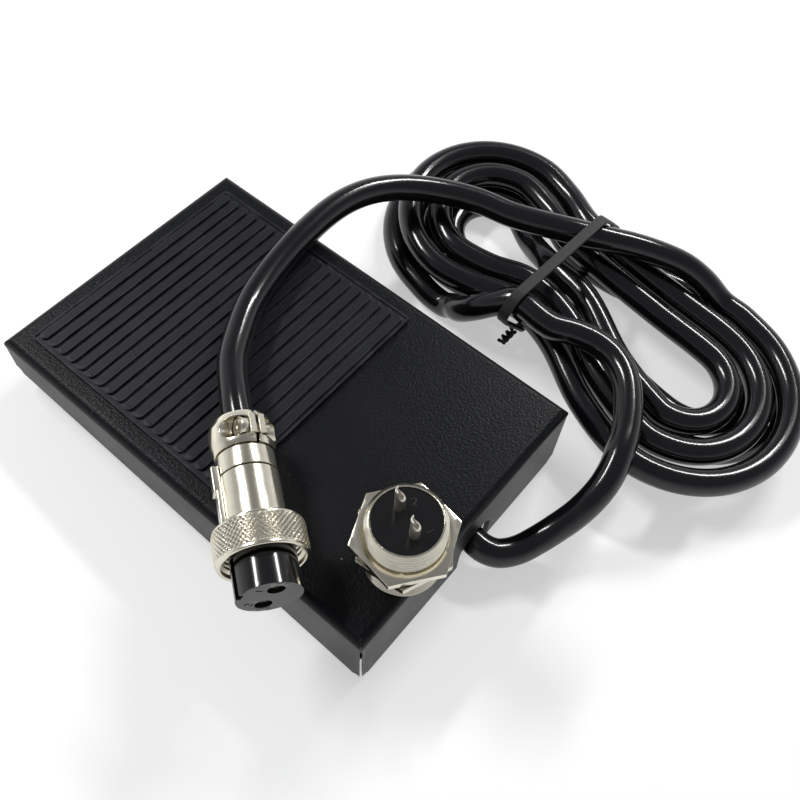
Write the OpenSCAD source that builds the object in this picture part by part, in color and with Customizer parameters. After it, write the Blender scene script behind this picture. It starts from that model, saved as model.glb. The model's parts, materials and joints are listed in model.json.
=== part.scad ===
// Foot switch: a pressed-steel pedal on a base plate, with its cord, cord plug and loose panel socket
// The frame: X across the pedal, Y towards the low end that the foot presses, Z up from the floor

/* [Pedal cover] */
// Length of the pedal
pedal_l = 106; // [95:1:120]
// Width of the pedal
pedal_w = 69; // [62:1:76]
// Height of the wall at the low end
toe_wall_h = 11.3; // [10.6:0.1:12]
// Height of the wall at the hinge end
heel_wall_h = 21.8; // [21.4:0.1:23]
// Thickness of the cover's sheet
sheet_t = 1.2; // [1:0.1:1.4]
// Outer radius of the folded edges
bend_r = 2; // [1.6:0.1:2.4]
// Width of the slit between two folded walls
slit_w = 0.5; // [0.3:0.1:0.8]
// Gap from the floor to the wall at the low end
toe_gap = 4.7; // [4.5:0.1:5]
// Gap from the floor to the wall at the hinge end
heel_gap = 1.3; // [1:0.1:1.6]
// How far the low end goes down when it is pressed
press_travel = 3.5; // [2.5:0.1:3.6]

/* [Rubber mat] */
// Length of the mat
mat_l = 59.6; // [54:0.2:64]
// Width of the mat
mat_w = 59.6; // [54:0.2:62]
// Thickness of the mat below its ribs
mat_t = 0.7; // [0.5:0.1:1]
// Height of a rib
rib_h = 0.6; // [0.3:0.1:0.8]
// Distance from one rib to the next
rib_pitch = 3.08; // [2.8:0.02:3.4]
// Width of a rib
rib_w = 2.1; // [1.6:0.1:2.3]
// Plain strip from the mat's edge to the rib ends
mat_border = 1.2; // [1:0.1:2.5]
// Bare strip of the cover between the mat and the low edge
mat_margin = 5; // [4:0.1:6]

/* [Base] */
// Thickness of the rubber sole
sole_t = 1.5; // [1:0.1:1.8]
// Thickness of the base plate
base_t = 1.2; // [1:0.1:1.4]
// Gap between the base plate and the cover's walls
base_gap = 1.2; // [1:0.1:1.5]
// Height of the base plate's side flanges above the plate
flange_h = 4; // [2:0.1:5]
// Distance from the base plate's edge to the sole's edge
sole_inset = 2; // [1:0.1:4]

/* [Hinge] */
// Place of the hinge pin along the pedal
hinge_y = -40; // [-42:0.5:-38]
// Height of the hinge pin
hinge_z = 12.5; // [12.2:0.1:13]
// Diameter of the hinge pin
pin_d = 3; // [2.5:0.1:3.2]
// Clearance of the pin in the cover's lugs
pin_clearance = 0.05; // [0.02:0.01:0.08]
// Distance from the middle to the outer face of a base bracket
bracket_x = 22; // [20:0.5:24]
// Thickness of the brackets and lugs
bracket_t = 1.6; // [1.2:0.1:2]

/* [Switch inside] */
// Length of the switch case
switch_l = 19.8; // [18:0.1:21]
// Height of the switch case
switch_h = 8.8; // [8.2:0.1:9]
// Thickness of the switch case
switch_t = 6.4; // [5.6:0.1:7]
// Place of the switch across the pedal
switch_x = -8; // [-12:0.5:-7]
// Place of the lever's pivot along the pedal
lever_y = -19; // [-20:0.5:-18]
// Length of the lever from its pivot
lever_l = 21; // [20:0.5:22]
// Height of the switch case above the base plate
switch_lift = 2.5; // [2.4:0.1:2.8]

/* [Cord] */
// Diameter of the cord
cord_d = 6.5; // [6.3:0.1:6.5]
// Place where the cord leaves, across the pedal
exit_x = 3; // [0:0.5:5]
// Height of the cord where it leaves
exit_z = 7; // [6.8:0.1:7.4]
// Width of the band that ties the hank
tie_w = 2.8; // [2:0.1:4]
// Thickness of the band that ties the hank
tie_t = 0.8; // [0.5:0.1:1]

/* [Cord plug] */
// Outer diameter of the coupling ring
ring_d = 18; // [17.6:0.1:18.4]
// Length of the coupling ring
ring_l = 7; // [6.6:0.1:7.6]
// Outer diameter of the connector's thread
thread_d = 16; // [15.8:0.1:16]
// Depth of the thread
thread_depth = 0.6; // [0.4:0.05:0.7]
// Pitch of the thread
thread_pitch = 1; // [0.8:0.1:1.2]
// Outer diameter of the plug's barrel
barrel_d = 11.8; // [11.4:0.1:12]
// Distance from the ring's middle to the barrel's rear end
barrel_l = 14.5; // [13.5:0.1:15]
// Diameter of the black front insert
insert_d = 12.5; // [12.2:0.1:12.7]
// How far the insert stands out of the ring
insert_out = 6.6; // [5.8:0.1:7]
// Length of the cord clamp
clamp_l = 7.3; // [6.8:0.1:8]
// Outer diameter of the cord clamp
clamp_d = 13.2; // [12.8:0.1:13.6]
// Diameter of a contact pin
contact_d = 2; // [1.8:0.1:2.1]
// Distance between the two contacts
contact_pitch = 6.2; // [5.6:0.1:6.4]

/* [Panel socket] */
// Length of the socket's shell
socket_l = 17.4; // [17:0.1:18.4]
// Length of the threaded end that takes the plug
mate_l = 7.8; // [7.5:0.1:8.6]
// Width of the flange across its flats
flange_af = 18; // [17.6:0.1:18.2]
// Thickness of the flange
flange_t = 1.9; // [1.6:0.1:2]
// Width of the nut across its flats
nut_af = 18.8; // [18.4:0.1:19.4]
// Thickness of the nut
nut_t = 1.8; // [1.6:0.1:2]
// Thickness of the lock washer
washer_t = 0.5; // [0.4:0.05:0.6]
// Length of a solder pin behind the insert
solder_l = 6.8; // [6.2:0.1:8]

/* [Hidden] */

// Smoothness of round shapes
$fn = 48;
// Running gap between pieces that move past each other
run_gap = 0.3;
// Gap between pieces that are fitted together
fit_gap = 0.1;
// How far a cut runs past the solid
overrun = 1;

// Attitude of the cover at rest
rest_slope = asin((toe_gap - heel_gap) / pedal_l);
wedge_slope = atan((heel_wall_h - toe_wall_h) / pedal_l);
cover_slope = wedge_slope - rest_slope;
cover_y = heel_wall_h * sin(cover_slope) / 2;
cover_z = toe_gap + pedal_l / 2 * sin(cover_slope) + toe_wall_h * cos(cover_slope);
inner_w = pedal_w - 2 * sheet_t;
inner_l = pedal_l - 2 * sheet_t;
inner_bend_r = bend_r - sheet_t;

// A point of the cover's own frame, given as its y and z there, in the frame of the whole object
function cover_to_world(y, z) = [
    cover_y + y * cos(cover_slope) + z * sin(cover_slope),
    cover_z - y * sin(cover_slope) + z * cos(cover_slope)
];
// A point of the whole object's frame, given as y and z, in the cover's own frame
function world_to_cover(y, z) = [
    (y - cover_y) * cos(cover_slope) - (z - cover_z) * sin(cover_slope),
    (y - cover_y) * sin(cover_slope) + (z - cover_z) * cos(cover_slope)
];
// Height of the cover's inner face above a place on the base
function inner_top_z(y) = cover_z - (y - cover_y) * tan(cover_slope) - sheet_t / cos(cover_slope);

// Base plate
base_top = sole_t + base_t;
base_w = inner_w - 2 * base_gap + 2 * fit_gap;
base_y0 = cover_to_world(-inner_l / 2, -heel_wall_h)[0] + base_gap;
base_y1 = cover_to_world(inner_l / 2, -toe_wall_h)[0] - base_gap;
base_l = base_y1 - base_y0;
base_yc = (base_y0 + base_y1) / 2;

// Hinge
bracket_foot_l = 9;
bracket_w = 10;
lug_x = bracket_x + run_gap;
clip_x = lug_x + bracket_t + run_gap;
clip_t = 0.6;
clip_d = pin_d * 2;
clip_groove_d = pin_d * 0.8;
pin_end = 1.2;
boss_d = pin_d * 2.4;
rivet_d = 2.4;
rivet_head_d = rivet_d * 1.8;
rivet_head_h = rivet_d * 0.35;
hinge_c = world_to_cover(hinge_y, hinge_z);

// Pressed angle and the stops
toe_reach = base_y1 - hinge_y;
press_angle = asin(press_travel / toe_reach);
stop_w = 14;
pad_t = 1;
stop_t = sheet_t;
tab_lip_l = 5;
hook_lip_l = 4;
tab_lip_z = base_top + pad_t + press_travel + 2 * run_gap;
hook_lip_z = tab_lip_z + stop_t + run_gap;
hook_y = base_y1 - tab_lip_l - hook_lip_l / 2;

// Return spring
spring_y = 24;
spring_d = 9;
spring_wire_d = 1;
spring_turns = 4.5;
seat_t = 1;
seat_post_d = spring_d - 2 * spring_wire_d - 2 * run_gap;
seat_post_h = 3;
spring_z0 = base_top + seat_t;
spring_z1 = inner_top_z(spring_y) - seat_t;

// Switch inside
case_y0 = lever_y - 1.4;
case_z0 = base_top + switch_lift;
case_z1 = case_z0 + switch_h;
lid_t = switch_t / 8;
lever_barrel_d = 2;
lever_z = case_z1 + lever_barrel_d / 2 + run_gap;
lever_pin_d = 1;
lever_w = 2.8;
lever_t = 0.5;
ear_t = 0.6;
plunger_l = 2.6;
plunger_w = 1.8;
plunger_arm = 6;
screw_pitch = 9.5;
screw_d = 2.2;
screw_z = case_z0 + screw_d * 1.3;
screw_y0 = case_y0 + (switch_l - screw_pitch) / 2;
case_hole_d = screw_d + 2 * fit_gap;
terminal_w = 2.8;
terminal_t = 0.5;
terminal_l = 2;
terminal_y_shares = [0.12, 0.5, 0.88];
stud_d = 5;
stud_y = lever_y + lever_l - 2;

// Cord inside the pedal
grommet_y = base_y0 + base_t / 2;
grommet_flange_t = 1;
cord_out_y = base_y0 - grommet_flange_t - fit_gap;
grommet_d = cord_d + 2;
grommet_flange_d = grommet_d + 1.6;
heel_tab_w = grommet_flange_d + 4;
heel_tab_z = exit_z + grommet_d / 2 + 1.2;
notch_w = grommet_flange_d + 0.8;
notch_z = exit_z + grommet_flange_d / 2 + 0.6;
saddle_l = 5;
saddle_y = hinge_y + bracket_w / 2 + saddle_l / 2 + 2 * fit_gap;
cord_in_y = saddle_y + saddle_l / 2 + 0.8;
saddle_t = 1.2;
saddle_foot = 5;
saddle_screw_d = 2.6;
wire_d = 1.6;

// Hank of cord: loops wound between two ends, in two layers, drawn in at the tie
hank_x = 75;
hank_y = -37;
hank_turn = -4;
hank_left_u = 34;
hank_right_u = -30;
tie_u = 10;
hank_draw = 6.5;
hank_step = 7.8;
hank_inner_w = 2.4;
hank_reverse_turn = 2.47;
hank_start_turn = 0.1;
hank_end_turn = 4.9;
hank_rings_per_loop = 24;
hank_sides = 6;
layer_gap = 0.6;
layer_z1 = cord_d / 2 + 0.1;
layer_z2 = layer_z1 + cord_d + layer_gap;
tie_rise = 1.2;
tie_rise_l = 10;
run_share = 0.1;
arc_share = 0.3;
climb_share = 0.05;
cross_share = 0.07;
low_shift = 4;
high_shift = -6;

// Route of the lead, from the pedal over the hank's near strands to the hank's start
lead_points = [
    [3, -55.9, 6.9], [4.6, -59, 6.4], [8, -61.6, 6.3], [12.2, -63.5, 7.3], [16.2, -65.1, 9.3],
    [20.2, -66.6, 12.2], [23.7, -67.4, 15], [27.4, -67.6, 17.2], [31.2, -67.1, 18.7], [35.5, -65.9, 19.6],
    [41.1, -64, 19.5], [46.7, -61, 19.4], [51.9, -57, 19.3], [55.3, -52, 19.2], [56.1, -46.4, 19.1],
    [54.8, -40.5, 19], [52.5, -35.1, 18.9], [53, -25.2, 18.4], [50.9, -21.1, 15.8], [48.7, -17.1, 12.2],
    [48.2, -13.4, 8.3], [49.4, -10.6, 5.6]
];
// Route of the tail. First in the hank's own frame, sideways, along and up: along the far side, rising over
// the other strands to the tie
tail_hank_points = [
    [20.8, -17, 13.9], [18.6, -11, 16.7], [15.2, -5, 18.4], [11.4, 1, 19.4], [7.2, 7, 19.9], [3.2, 14, 19.8]
];
// Then over the left lobe and the pedal to the plug
tail_points = [
    [73.8, -9, 18.4], [71.2, 0.5, 18.4], [66.6, 9, 18.8], [59.8, 16, 20.2], [51.5, 20.4, 21.9],
    [42, 22.3, 23], [30, 22, 23.4], [18, 20.3, 23.4], [7, 17, 23.8], [-2, 12, 25], [-8, 7.6, 26.2]
];
rings_per_span = 1;
cord_sides = 10;

// Plug: its ring's middle, its direction and its roll round its own axis
ring_x = -34.2;
ring_y = -26.6;
plug_azimuth = -126.4;
plug_lift = 4.8;
plug_roll = -25;
clamp_roll = -119;
ring_clear = 0.45;
ring_z = cover_z - (ring_y - cover_y) * tan(cover_slope) + ring_d / 2 + ring_clear;
ring_back_t = 0.9;
ring_chamfer = 0.5;
ring_bore_d = barrel_d + 0.16;
thread_root_d = thread_d + 0.1;
thread_crest_d = thread_d - 2 * thread_depth;
barrel_flange_d = thread_crest_d - 0.8;
barrel_flange_t = 0.8;
barrel_wall = 1.2;
barrel_z0 = -barrel_l;
groove_w = 0.4;
collar_d = barrel_d - 0.2;
collar_l = 4.2;
neck_d = collar_d - 1.2;
neck_l = 0.3;
collar_z0 = barrel_z0 - groove_w - collar_l;
clamp_z1 = collar_z0 - neck_l;
clamp_z0 = clamp_z1 - clamp_l;
clamp_split = 0.7;
clamp_screw_d = 2.2;
clamp_ear_w = 4.4;
clamp_ear_h = 1.3;
clamp_screw_z = (clamp_z0 + clamp_z1) / 2;
clamp_screw_r = cord_d / 2 + clamp_screw_d / 2 + 0.5;
insert_z1 = ring_l / 2 + insert_out;
insert_z0 = -ring_l / 2 + ring_back_t + run_gap + barrel_flange_t + fit_gap;
stem_l = 4;
insert_stem_d = barrel_d - 2 * barrel_wall - 2 * fit_gap;
contact_wall = 0.35;
keyway_w = 1.6;
keyway_depth = 0.9;
key_w = 3.2;
key_h = 0.8;
key_boss_l = 5.5;
key_boss_h = 0.5;
key_back = 2.6;
contact_mouth_d = contact_d + 2 * contact_wall + 0.6;

// Panel socket: where it stands on the cover, in the cover's own frame
socket_x = -15.56;
socket_y = -47.24;
socket_flange_turn = 38;
nut_turn = 23.2;
pin_line_turn = 65.5;
cup_turn = -50;
scoop_r = contact_d * 1.8;
scoop_out = contact_d * 1.55;
socket_lift = 0.3;
mate_bore_d = insert_d + 0.7;
rear_bore_d = thread_crest_d - 1.3;
web_z0 = mate_l - 1;
web_z1 = mate_l + flange_t;
web_bore_d = rear_bore_d - 1.6;
rim_recess = 0.2;
rear_chamfer = 1;
rear_lip = 0.3;
socket_thread_clear = 0.1;
pin_mate_l = 6;
cup_l_share = 0.5;
nut_z0 = mate_l + flange_t + washer_t;
nut_chamfer = 0.5;

// Swept tubes
function unit(v) = v / norm(v);
// Sideways direction of a nearly level stretch
function side_of(t) = unit(cross(t, [0, 0, 1]));
function tangent_at(p, i) = unit(p[min(i + 1, len(p) - 1)] - p[max(i - 1, 0)]);
function ring_at(c, t, r, n) =
    let (u = side_of(t), v = cross(u, t))
    [for (k = [0 : n - 1]) c + r * (cos(360 * k / n) * u + sin(360 * k / n) * v)];
module tube(p, r, n, first_dir = [0, 0, 0], last_dir = [0, 0, 0]) {
    last = len(p) - 1;
    points = [for (i = [0 : last])
        let (end_dir = i == 0 ? first_dir : i == last ? last_dir : [0, 0, 0])
        each ring_at(p[i], norm(end_dir) > 0 ? end_dir : tangent_at(p, i), r, n)];
    sides = [for (i = [0 : last - 1]) for (k = [0 : n - 1])
        let (a = i * n + k, b = i * n + (k + 1) % n)
        each [[a, b, b + n], [a, b + n, a + n]]];
    caps = [for (k = [1 : n - 2]) each [[0, k + 1, k], [last * n, last * n + k, last * n + k + 1]]];
    polyhedron(points, concat(sides, caps), convexity = 10);
}
// A smooth curve through hand-chosen points
function curve_point(a, b, c, d, s) =
    0.5 * (2 * b + (c - a) * s + (2 * a - 5 * b + 4 * c - d) * s * s + (3 * b - a - 3 * c + d) * s * s * s);
function smooth_route(p, n) =
    let (last = len(p) - 1)
    [for (i = [0 : last - 1]) for (j = [0 : n - 1])
        curve_point(p[max(i - 1, 0)], p[i], p[i + 1], p[min(i + 2, last)], j / n), p[last]];

// Hank: one place on its winding, from the number of turns wound so far
function ramp(x) = let (s = min(max(x, 0), 1)) (1 - cos(180 * s)) / 2;
// Side of the second layer's strands: the cord crosses over once and winds the other way round from there
function hank_side(t) = 1 - 2 * ramp((t - hank_reverse_turn) / (2 * cross_share) + 0.5);
// The lower loops lie further out at the right end and the upper ones nearer the pedal
function hank_shift(t, u) =
    (t < hank_reverse_turn ? low_shift : high_shift) * ramp((tie_u - u) / (tie_u - hank_right_u));
function hank_half_w(t) = hank_inner_w + hank_step * abs(t - hank_reverse_turn);
function draw_out(u) =
    hank_draw * ramp(u > tie_u ? (u - tie_u) / (hank_left_u - tie_u) : (tie_u - u) / (tie_u - hank_right_u));
function hank_flat(t) =
    let (
        f = t - floor(t),
        w = hank_half_w(t),
        arc_w = w + hank_draw
    )
    f < run_share ?
        let (u = tie_u + (hank_left_u - tie_u) * f / run_share) [-w - draw_out(u), u] :
    f < run_share + arc_share ?
        let (a = 180 * (f - run_share) / arc_share) [-arc_w * cos(a), hank_left_u + arc_w * sin(a)] :
    f < 0.5 + run_share ?
        let (
            g = (f - run_share - arc_share) / (2 * run_share),
            u = g < 0.5 ? hank_left_u + (tie_u - hank_left_u) * 2 * g : tie_u + (hank_right_u - tie_u) * (2 * g - 1)
        )
        [w + draw_out(u), u] :
    f < 0.5 + run_share + arc_share ?
        let (a = 180 * (f - 0.5 - run_share) / arc_share) [arc_w * cos(a), hank_right_u - arc_w * sin(a)] :
        let (u = hank_right_u + (tie_u - hank_right_u) * (f - 1 + run_share) / run_share) [-w - draw_out(u), u];
function tie_bump(u) = tie_rise * exp(-pow((u - tie_u) / tie_rise_l, 2));
function hank_z(t, u) =
    layer_z1 + (layer_z2 - layer_z1) * ramp((t - hank_reverse_turn) / (2 * climb_share) + 0.5) + tie_bump(u);
// A place in the hank's own frame, sideways and along it, in the frame of the whole object
function hank_world(s, u, z) = [
    hank_x - u * sin(hank_turn) + s * cos(hank_turn),
    hank_y + u * cos(hank_turn) + s * sin(hank_turn),
    z
];
function hank_point(t) =
    let (q = hank_flat(t)) hank_world(hank_side(t) * q[0] + hank_shift(t, q[1]), q[1], hank_z(t, q[1]));
hank_ring_count = round((hank_end_turn - hank_start_turn) * hank_rings_per_loop);
hank_centres = [for (i = [0 : hank_ring_count])
    hank_point(hank_start_turn + (hank_end_turn - hank_start_turn) * i / hank_ring_count)];
hank_first = hank_centres[0];
hank_last = hank_centres[hank_ring_count];
// Direction along the hank, towards its left end
hank_dir = [-sin(hank_turn), cos(hank_turn), 0];

// Plug frame: the direction of its axis, and a place on that axis
plug_dir = [
    cos(plug_azimuth) * cos(plug_lift), sin(plug_azimuth) * cos(plug_lift), sin(plug_lift)
];
plug_rear = [ring_x, ring_y, ring_z] + clamp_z0 * plug_dir;
cord_end = [ring_x, ring_y, ring_z] + clamp_z1 * plug_dir;
lead_route = concat(
    [[exit_x, cord_out_y, exit_z]], lead_points, [hank_first - cord_d * hank_dir, hank_first]
);
tail_route = concat(
    [hank_last, hank_last + cord_d * hank_dir],
    [for (q = tail_hank_points) hank_world(q[0], q[1], q[2])], tail_points,
    [plug_rear - cord_d * plug_dir, plug_rear, cord_end]
);
lead_centres = smooth_route(lead_route, rings_per_span);
tail_centres = smooth_route(tail_route, rings_per_span);

// Least distance from the hank to itself, between places more than half a loop apart along it
function seg_gap(p, a, b) =
    let (d = b - a, s = min(max((p - a) * d / (d * d), 0), 1)) norm(p - a - s * d);
hank_self_gap = min([for (i = [0 : hank_ring_count]) for (j = [0 : hank_ring_count - 1])
    if (abs(i - j) > hank_rings_per_loop / 3 && abs(i - j - 1) > hank_rings_per_loop / 3)
        seg_gap(hank_centres[i], hank_centres[j], hank_centres[j + 1])]) - cord_d;
function route_l(p) = len(p) < 2 ? 0 : [for (i = [0 : len(p) - 2]) norm(p[i + 1] - p[i])] *
    [for (i = [0 : len(p) - 2]) 1];

// Shared shapes
module in_cover() {
    translate([0, cover_y, cover_z]) rotate([-cover_slope, 0, 0]) children();
}
module in_plug() {
    translate([ring_x, ring_y, ring_z]) rotate([0, 90 - plug_lift, plug_azimuth]) children();
}
module in_socket() {
    in_cover() translate([socket_x, socket_y, socket_lift]) children();
}
// A rectangle with round corners
module round_rect(w, l, r) {
    square([w - 2 * r, l], center = true);
    square([w, l - 2 * r], center = true);
    for (x = [-1, 1]) for (y = [-1, 1]) translate([x * (w / 2 - r), y * (l / 2 - r)]) circle(r);
}
// A rectangle from the top line down, with round top corners
module round_top(w, h, r) {
    translate([-w / 2, -h]) square([w, h - r]);
    translate([-w / 2 + r, -h]) square([w - 2 * r, h]);
    for (x = [-1, 1]) translate([x * (w / 2 - r), -r]) circle(r);
}
module ring_shape(outer_d, bore_d, l) {
    difference() {
        cylinder(d = outer_d, h = l);
        translate([0, 0, -overrun]) cylinder(d = bore_d, h = l + 2 * overrun);
    }
}
// A hexagon, given by its width across the flats
module hexagon(af, h) {
    cylinder(d = af / cos(30), h = h, $fn = 6);
}
// Closed wedge with folded edges, used for the cover's outside and its inside
module wedge(l, w, toe_h, heel_h, r) {
    intersection() {
        rotate([90, 0, 90]) translate([0, 0, -w / 2 - overrun]) linear_extrude(w + 2 * overrun) intersection() {
            round_top(l, heel_h + overrun, r);
            polygon([[-l / 2, 0], [l / 2, 0], [l / 2, -toe_h], [-l / 2, -heel_h]]);
        }
        translate([0, l / 2 + overrun, 0]) rotate([90, 0, 0]) linear_extrude(l + 2 * overrun)
            round_top(w, heel_h + overrun, r);
    }
}
// Threads are drawn as rings of the true pitch
module thread_rings(crest_d, root_d, l) {
    turns = floor(l / thread_pitch);
    rotate_extrude() polygon(concat(
        [[0, 0]],
        [for (i = [0 : turns - 1]) each [
            [root_d / 2, i * thread_pitch], [crest_d / 2, (i + 0.5) * thread_pitch]]],
        [[root_d / 2, turns * thread_pitch], [root_d / 2, l], [0, l]]
    ));
}

// Base and its fixings
module rubber_sole() {
    color([0.06, 0.06, 0.065]) translate([0, base_yc, 0]) linear_extrude(sole_t)
        round_rect(base_w - 2 * sole_inset, base_l - 2 * sole_inset, bend_r + sole_inset);
}
module base_plate() {
    color([0.12, 0.12, 0.13]) difference() {
        union() {
            translate([0, base_yc, sole_t]) linear_extrude(base_t) round_rect(base_w, base_l, bend_r);
            for (x = [-1, 1]) translate([x * (base_w - base_t) / 2, base_yc, base_top + flange_h / 2])
                cube([base_t, base_l * 0.7, flange_h], center = true);
            translate([exit_x - heel_tab_w / 2, base_y0, sole_t]) cube([heel_tab_w, base_t, heel_tab_z - sole_t]);
        }
        translate([exit_x, base_y0 - overrun, exit_z]) rotate([-90, 0, 0])
            cylinder(d = grommet_d + 2 * fit_gap, h = base_t + 2 * overrun);
        each_rivet() translate([0, 0, sole_t - overrun]) cylinder(d = rivet_d, h = base_t + 2 * overrun);
        each_saddle_screw() translate([0, 0, sole_t - overrun])
            cylinder(d = saddle_screw_d, h = base_t + 2 * overrun);
    }
}
// Places of the rivets that hold the brackets and the hook
bracket_rivet_x = bracket_x - bracket_t - bracket_foot_l / 2;
switch_rivet_x = switch_x - switch_t / 2 - bracket_t - bracket_foot_l / 2;
switch_rivet_pitch = 12;
module each_rivet() {
    for (x = [-1, 1]) for (y = [-1, 1])
        translate([x * bracket_rivet_x, hinge_y + y * bracket_w / 4, 0]) children();
    for (y = [-1, 1]) translate([switch_rivet_x, case_y0 + switch_l / 2 + y * switch_rivet_pitch / 2, 0])
        children();
    for (x = [-1, 1]) translate([x * stop_w / 4, hook_y - bracket_foot_l / 2, 0]) children();
}
module bracket_rivets() {
    color([0.62, 0.62, 0.6]) each_rivet() {
        translate([0, 0, sole_t]) cylinder(d = rivet_d - 2 * fit_gap, h = base_t + bracket_t);
        translate([0, 0, base_top + bracket_t]) cylinder(d1 = rivet_head_d, d2 = rivet_d, h = rivet_head_h);
    }
}
module hinge_bracket() {
    difference() {
        union() {
            translate([bracket_x - bracket_t, hinge_y - bracket_w / 2, base_top])
                cube([bracket_t, bracket_w, hinge_z - base_top]);
            translate([bracket_x - bracket_t, hinge_y, hinge_z]) rotate([0, 90, 0])
                cylinder(d = bracket_w, h = bracket_t);
            translate([bracket_x - bracket_t - bracket_foot_l, hinge_y - bracket_w / 2, base_top])
                cube([bracket_foot_l + bracket_t / 2, bracket_w, bracket_t]);
        }
        translate([bracket_x - bracket_t - overrun, hinge_y, hinge_z]) rotate([0, 90, 0])
            cylinder(d = pin_d + 2 * pin_clearance, h = bracket_t + 2 * overrun);
        for (y = [-1, 1]) translate([bracket_rivet_x, hinge_y + y * bracket_w / 4, base_top - overrun])
            cylinder(d = rivet_d, h = bracket_t + 2 * overrun);
    }
}
module hinge_bracket_left() {
    color([0.7, 0.7, 0.68]) mirror([1, 0, 0]) hinge_bracket();
}
module hinge_bracket_right() {
    color([0.7, 0.7, 0.68]) hinge_bracket();
}
module hinge_pin() {
    pin_half = clip_x + clip_t + pin_end;
    color([0.75, 0.75, 0.75]) translate([-pin_half, hinge_y, hinge_z]) rotate([0, 90, 0]) difference() {
        cylinder(d = pin_d, h = 2 * pin_half);
        for (x = [-1, 1]) translate([0, 0, pin_half + x * (clip_x + clip_t / 2) - clip_t / 2]) difference() {
            cylinder(d = pin_d + overrun, h = clip_t);
            cylinder(d = clip_groove_d, h = clip_t);
        }
    }
}
module pin_clips() {
    color([0.3, 0.3, 0.3]) for (x = [-1, 1])
        translate([x * (clip_x + clip_t / 2), hinge_y, hinge_z]) rotate([0, 90, 0])
            translate([0, 0, -clip_t / 2 + fit_gap / 2]) difference() {
                cylinder(d = clip_d, h = clip_t - fit_gap);
                translate([0, 0, -overrun]) cylinder(d = clip_groove_d + 2 * fit_gap, h = clip_t + 2 * overrun);
                translate([-pin_d / 4, 0, -overrun]) cube([pin_d / 2, clip_d, clip_t + 2 * overrun]);
            }
}
module stop_hook() {
    color([0.7, 0.7, 0.68]) difference() {
        union() {
            translate([-stop_w / 2, hook_y, base_top]) cube([stop_w, stop_t, hook_lip_z + stop_t - base_top]);
            translate([-stop_w / 2, hook_y, hook_lip_z]) cube([stop_w, stop_t + hook_lip_l, stop_t]);
            translate([-stop_w / 2, hook_y - bracket_foot_l, base_top])
                cube([stop_w, bracket_foot_l + stop_t / 2, bracket_t]);
        }
        for (x = [-1, 1]) translate([x * stop_w / 4, hook_y - bracket_foot_l / 2, base_top - overrun])
            cylinder(d = rivet_d, h = bracket_t + 2 * overrun);
    }
}
module stop_pad() {
    color([0.08, 0.08, 0.08])
        translate([0, hook_y + stop_t + run_gap + tab_lip_l / 2, base_top]) linear_extrude(pad_t)
            round_rect(stop_w, tab_lip_l - run_gap, pad_t);
}

// Return spring and its seat
module spring_seat() {
    color([0.85, 0.85, 0.82]) translate([0, spring_y, base_top]) {
        cylinder(d = spring_d + 2 * spring_wire_d, h = seat_t - fit_gap);
        cylinder(d = seat_post_d, h = seat_t + seat_post_h);
    }
}
module return_spring() {
    r = (spring_d - spring_wire_d) / 2;
    z0 = spring_z0 + spring_wire_d / 2;
    z1 = spring_z1 - spring_wire_d / 2 - run_gap * 1.5;
    steps = round(spring_turns * 12);
    color([0.75, 0.75, 0.76]) tube([for (i = [0 : steps])
        let (a = 360 * spring_turns * i / steps)
        [r * cos(a), spring_y + r * sin(a), z0 + (z1 - z0) * ramp(i / steps)]], spring_wire_d / 2, 6);
}

// Switch with its bracket, screws, terminals, lever and plunger
module switch_bracket() {
    x0 = switch_x - switch_t / 2 - bracket_t - fit_gap;
    color([0.7, 0.7, 0.68]) difference() {
        union() {
            translate([x0, case_y0, base_top]) cube([bracket_t, switch_l, screw_z + screw_d - base_top]);
            translate([x0 - bracket_foot_l + fit_gap, case_y0, base_top])
                cube([bracket_foot_l + bracket_t / 2, switch_l, bracket_t]);
        }
        for (k = [0, 1]) translate([x0 - overrun, screw_y0 + k * screw_pitch, screw_z]) rotate([0, 90, 0])
            cylinder(d = case_hole_d, h = bracket_t + 2 * overrun);
        for (y = [-1, 1])
            translate([switch_rivet_x, case_y0 + switch_l / 2 + y * switch_rivet_pitch / 2, base_top - overrun])
                cylinder(d = rivet_d, h = bracket_t + 2 * overrun);
    }
}
// Cuts that go through the case and its lid alike
module case_cuts() {
    for (k = [0, 1]) translate([switch_x - switch_t, screw_y0 + k * screw_pitch, screw_z]) rotate([0, 90, 0])
        cylinder(d = case_hole_d, h = 2 * switch_t);
    translate([switch_x - plunger_w / 2 - run_gap, lever_y + plunger_arm - plunger_l / 2 - run_gap,
        case_z1 - switch_h / 3]) cube([plunger_w + 2 * run_gap, plunger_l + 2 * run_gap, switch_h]);
}
module switch_case() {
    color([0.1, 0.1, 0.1]) difference() {
        union() {
            translate([switch_x - switch_t / 2, case_y0, case_z0]) cube([switch_t - lid_t, switch_l, switch_h]);
            for (x = [-1, 1]) translate([switch_x + x * (lever_w / 2 + run_gap + ear_t / 2), lever_y, 0]) {
                translate([-ear_t / 2, -lever_barrel_d / 2, case_z1 - ear_t])
                    cube([ear_t, lever_barrel_d, lever_z - case_z1 + ear_t]);
                translate([-ear_t / 2, 0, lever_z]) rotate([0, 90, 0]) cylinder(d = lever_barrel_d, h = ear_t);
            }
        }
        case_cuts();
        translate([switch_x - switch_t, lever_y, lever_z]) rotate([0, 90, 0])
            cylinder(d = lever_pin_d + 2 * pin_clearance, h = 2 * switch_t);
    }
}
module switch_lid() {
    color([0.16, 0.16, 0.16]) difference() {
        translate([switch_x + switch_t / 2 - lid_t, case_y0, case_z0])
            cube([lid_t, switch_l, switch_h - ear_t - fit_gap]);
        case_cuts();
    }
}
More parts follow.
